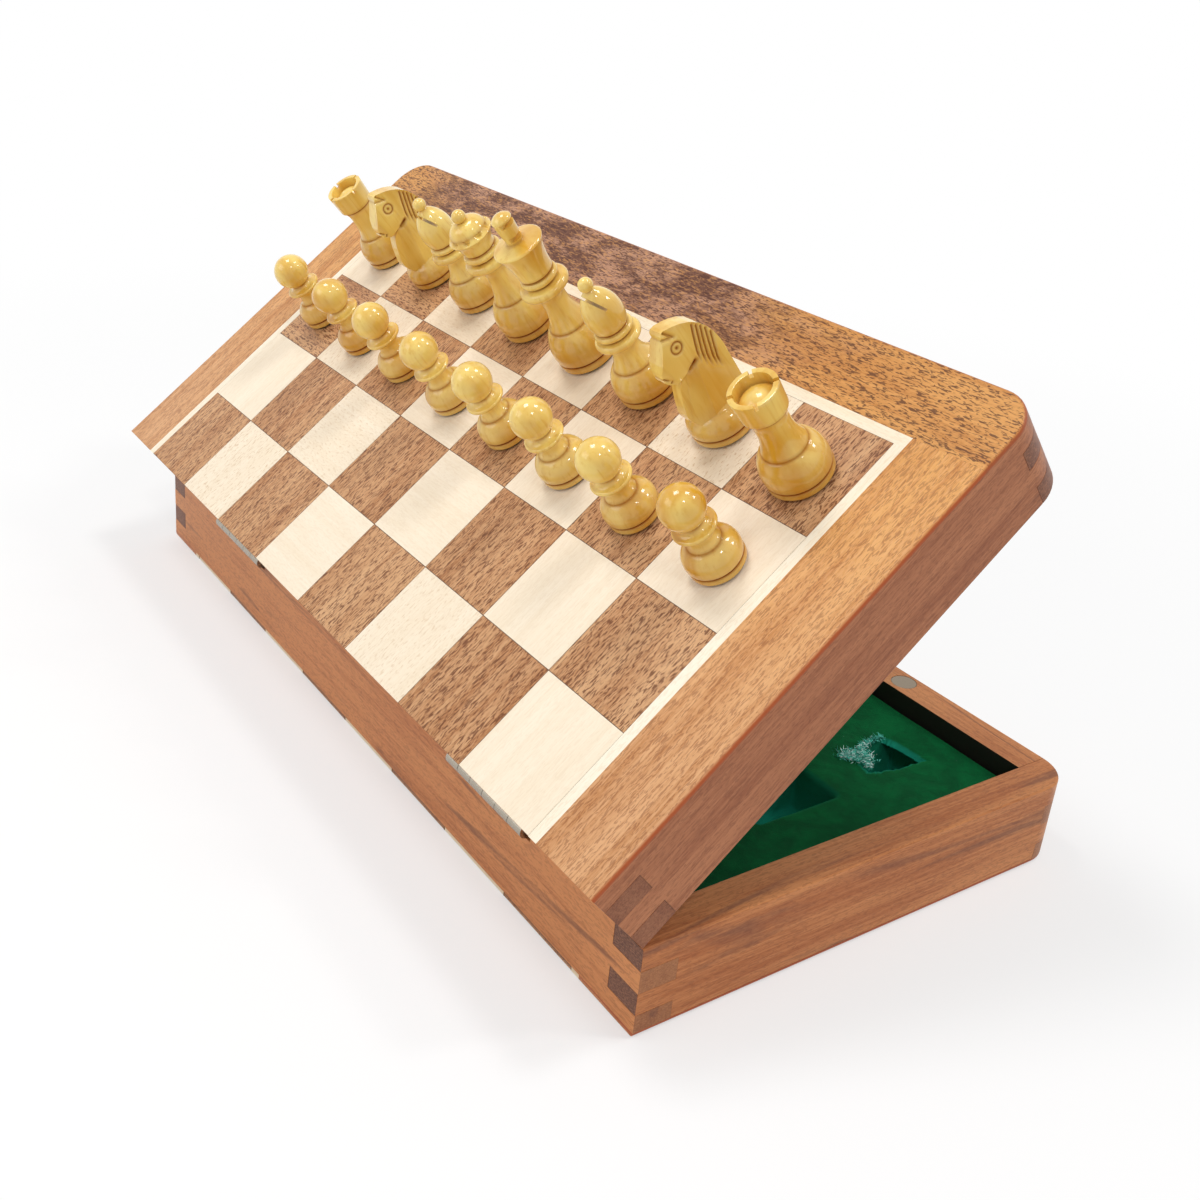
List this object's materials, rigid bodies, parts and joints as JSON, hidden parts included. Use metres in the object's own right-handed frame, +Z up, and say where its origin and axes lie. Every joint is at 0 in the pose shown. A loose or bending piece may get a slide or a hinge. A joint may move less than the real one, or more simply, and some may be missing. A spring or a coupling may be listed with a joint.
{
  "type": "travel chess set",
  "caption": "Folding wooden travel chess case, half open, its magnetic board on the lid with the light men set out and the dark men stowed in the velvet-lined lid.",
  "frame": {"origin": "middle of the underside of the lower half, on the surface that it rests on", "axes": "X along the hinge, Y from the hinge to the front edge of the lower half, Z up"},
  "size_m": [0.3048, 0.1689, 0.1611],
  "materials": {
    "walnut_case": "satin lacquer",
    "walnut_veneer": "satin lacquer",
    "maple_veneer": "satin lacquer",
    "boxwood_men": "gloss lacquer",
    "rosewood_men": "gloss lacquer",
    "core_board": "raw board",
    "green_velvet": "velvet pile",
    "steel": "mill",
    "nickel": "nickel plate",
    "hinge_nickel": "nickel plate"
  },
  "bodies": {
    "base": {"base_hinge_wall": "walnut_case", "base_front_wall": "walnut_case", "base_left_end_wall": "walnut_case", "base_right_end_wall": "walnut_case", "base_core_panel": "core_board", "base_steel_sheet": "steel", "base_dark_squares": "walnut_veneer", "base_light_squares": "maple_veneer", "base_inlay_strips": "maple_veneer", "base_border_strips": "walnut_veneer", "base_foam_insert": "green_velvet", "base_closure_magnets": "nickel", "base_left_hinge_leaf": "hinge_nickel", "base_right_hinge_leaf": "hinge_nickel", "base_hinge_screws": "hinge_nickel", "left_hinge_pin": "hinge_nickel", "right_hinge_pin": "hinge_nickel"},
    "lid": {"lid_hinge_wall": "walnut_case", "lid_front_wall": "walnut_case", "lid_left_end_wall": "walnut_case", "lid_right_end_wall": "walnut_case", "lid_core_panel": "core_board", "lid_steel_sheet": "steel", "lid_dark_squares": "walnut_veneer", "lid_light_squares": "maple_veneer", "lid_inlay_strips": "maple_veneer", "lid_border_strips": "walnut_veneer", "lid_foam_insert": "green_velvet", "lid_closure_magnets": "nickel", "lid_left_hinge_leaf": "hinge_nickel", "lid_right_hinge_leaf": "hinge_nickel", "lid_hinge_screws": "hinge_nickel", "dark_pawns": "rosewood_men", "dark_rooks": "rosewood_men", "dark_knights": "rosewood_men", "dark_bishops": "rosewood_men", "dark_queen": "rosewood_men", "dark_king": "rosewood_men"},
    "light_rook_1": {"light_rook_1": "boxwood_men"},
    "light_rook_2": {"light_rook_2": "boxwood_men"},
    "light_knight_1": {"light_knight_1": "boxwood_men"},
    "light_knight_2": {"light_knight_2": "boxwood_men"},
    "light_bishop_1": {"light_bishop_1": "boxwood_men"},
    "light_bishop_2": {"light_bishop_2": "boxwood_men"},
    "light_queen": {"light_queen": "boxwood_men"},
    "light_king": {"light_king": "boxwood_men"},
    "light_pawn_1": {"light_pawn_1": "boxwood_men"},
    "light_pawn_2": {"light_pawn_2": "boxwood_men"},
    "light_pawn_3": {"light_pawn_3": "boxwood_men"},
    "light_pawn_4": {"light_pawn_4": "boxwood_men"},
    "light_pawn_5": {"light_pawn_5": "boxwood_men"},
    "light_pawn_6": {"light_pawn_6": "boxwood_men"},
    "light_pawn_7": {"light_pawn_7": "boxwood_men"},
    "light_pawn_8": {"light_pawn_8": "boxwood_men"}
  },
  "joints": [
    {"name": "case_lid_hinge", "type": "hinge", "parent": "base", "child": "lid", "pos_m": [0, -0.0764, 0.0256], "axis": [1, 0, 0], "range_deg": [-40, 140]},
    {"name": "light_rook_1_lift", "type": "slide", "parent": "lid", "child": "light_rook_1", "axis": [0, -0.6428, 0.766], "range_m": [0, 0.06]},
    {"name": "light_rook_2_lift", "type": "slide", "parent": "lid", "child": "light_rook_2", "axis": [0, -0.6428, 0.766], "range_m": [0, 0.06]},
    {"name": "light_knight_1_lift", "type": "slide", "parent": "lid", "child": "light_knight_1", "axis": [0, -0.6428, 0.766], "range_m": [0, 0.06]},
    {"name": "light_knight_2_lift", "type": "slide", "parent": "lid", "child": "light_knight_2", "axis": [0, -0.6428, 0.766], "range_m": [0, 0.06]},
    {"name": "light_bishop_1_lift", "type": "slide", "parent": "lid", "child": "light_bishop_1", "axis": [0, -0.6428, 0.766], "range_m": [0, 0.06]},
    {"name": "light_bishop_2_lift", "type": "slide", "parent": "lid", "child": "light_bishop_2", "axis": [0, -0.6428, 0.766], "range_m": [0, 0.06]},
    {"name": "light_queen_lift", "type": "slide", "parent": "lid", "child": "light_queen", "axis": [0, -0.6428, 0.766], "range_m": [0, 0.06]},
    {"name": "light_king_lift", "type": "slide", "parent": "lid", "child": "light_king", "axis": [0, -0.6428, 0.766], "range_m": [0, 0.06]},
    {"name": "light_pawn_1_lift", "type": "slide", "parent": "lid", "child": "light_pawn_1", "axis": [0, -0.6428, 0.766], "range_m": [0, 0.06]},
    {"name": "light_pawn_2_lift", "type": "slide", "parent": "lid", "child": "light_pawn_2", "axis": [0, -0.6428, 0.766], "range_m": [0, 0.06]},
    {"name": "light_pawn_3_lift", "type": "slide", "parent": "lid", "child": "light_pawn_3", "axis": [0, -0.6428, 0.766], "range_m": [0, 0.06]},
    {"name": "light_pawn_4_lift", "type": "slide", "parent": "lid", "child": "light_pawn_4", "axis": [0, -0.6428, 0.766], "range_m": [0, 0.06]},
    {"name": "light_pawn_5_lift", "type": "slide", "parent": "lid", "child": "light_pawn_5", "axis": [0, -0.6428, 0.766], "range_m": [0, 0.06]},
    {"name": "light_pawn_6_lift", "type": "slide", "parent": "lid", "child": "light_pawn_6", "axis": [0, -0.6428, 0.766], "range_m": [0, 0.06]},
    {"name": "light_pawn_7_lift", "type": "slide", "parent": "lid", "child": "light_pawn_7", "axis": [0, -0.6428, 0.766], "range_m": [0, 0.06]},
    {"name": "light_pawn_8_lift", "type": "slide", "parent": "lid", "child": "light_pawn_8", "axis": [0, -0.6428, 0.766], "range_m": [0, 0.06]}
  ]
}
